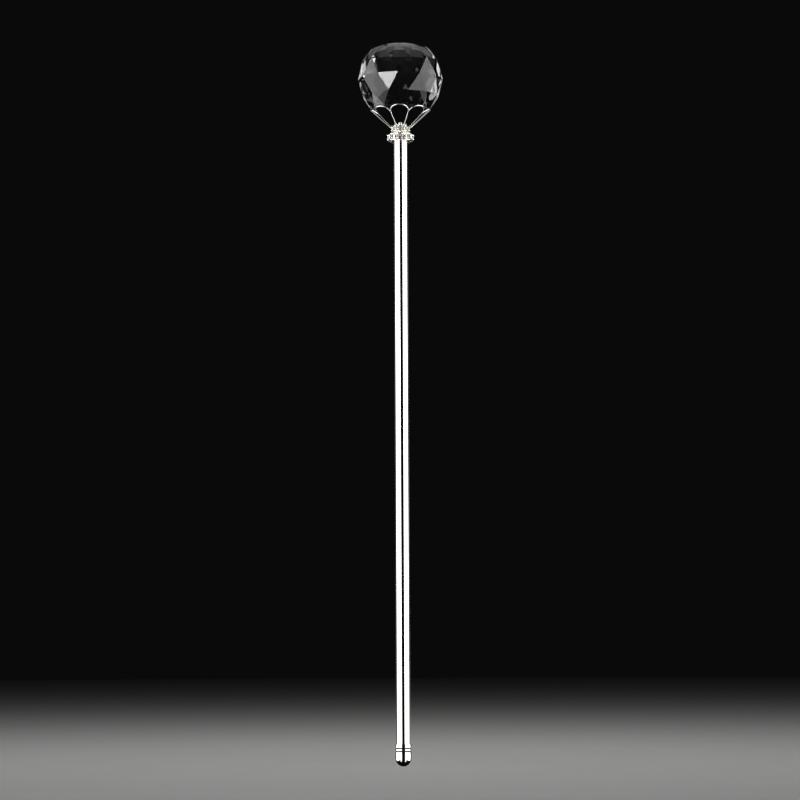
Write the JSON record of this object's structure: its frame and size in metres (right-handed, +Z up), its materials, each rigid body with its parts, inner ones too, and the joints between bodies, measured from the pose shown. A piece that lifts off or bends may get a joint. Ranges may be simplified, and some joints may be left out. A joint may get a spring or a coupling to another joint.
{
  "type": "magic wand",
  "caption": "Slim polished silver wand with a faceted clear crystal ball held in a scalloped petal cup above a rhinestone collar, and a rounded grooved end cap; the head unscrews from the tube.",
  "frame": {"origin": "lowest point of the rounded end cap, on the wand's axis", "axes": "+Z up the wand's axis from the end cap to the crystal ball; -Y is the side that a petal and a ball facet edge face"},
  "size_m": [0.05, 0.05, 0.4227],
  "materials": {
    "shaft_silver": "mirror-polished silver plate with fine handling scratches",
    "cap_silver": "mirror-polished silver plate",
    "plug_brass": "turned brass",
    "stud_steel": "zinc-plated steel",
    "spring_steel": "oiled spring steel",
    "collar_silver": "polished silver plate, slightly warm in the recesses",
    "rhinestone": "clear foil-backed cut glass",
    "petal_silver": "polished silver-plated sheet",
    "rim_silver": "polished silver-plated wire",
    "seat_silver": "satin silver plate",
    "clear_cement": "clear cured resin",
    "crystal": "clear cut and polished crystal glass"
  },
  "bodies": {
    "rod": {"shaft_tube": "shaft_silver", "end_cap": "cap_silver", "thread_plug": "plug_brass"},
    "rondelle": {"rondelle_flower": "collar_silver", "rondelle_stones": "rhinestone"},
    "head": {"centre_stud": "stud_steel", "retaining_clip": "spring_steel", "bead_ring": "collar_silver", "neck_ring": "collar_silver", "neck_stones": "rhinestone", "cup_dish": "petal_silver", "petal_1": "petal_silver", "petal_2": "petal_silver", "petal_3": "petal_silver", "petal_4": "petal_silver", "petal_5": "petal_silver", "petal_6": "petal_silver", "petal_7": "petal_silver", "petal_8": "petal_silver", "petal_rim_1": "rim_silver", "petal_rim_2": "rim_silver", "petal_rim_3": "rim_silver", "petal_rim_4": "rim_silver", "petal_rim_5": "rim_silver", "petal_rim_6": "rim_silver", "petal_rim_7": "rim_silver", "petal_rim_8": "rim_silver", "lock_washer": "spring_steel", "ball_seat": "seat_silver", "seat_pad": "clear_cement", "crystal_ball": "crystal"}
  },
  "joints": [
    {"name": "head_lift", "type": "slide", "parent": "rod", "child": "rondelle", "axis": [0, 0, 1], "range_m": [0, 0.0105]},
    {"name": "head_turn", "type": "hinge", "parent": "rondelle", "child": "head", "pos_m": [0, 0, 0.37], "axis": [0, 0, 1], "range_deg": [0, 5400]}
  ],
  "couplings": [
    {"joint": "head_lift", "follows": "head_turn", "m_per_rad": 0.00011141}
  ]
}
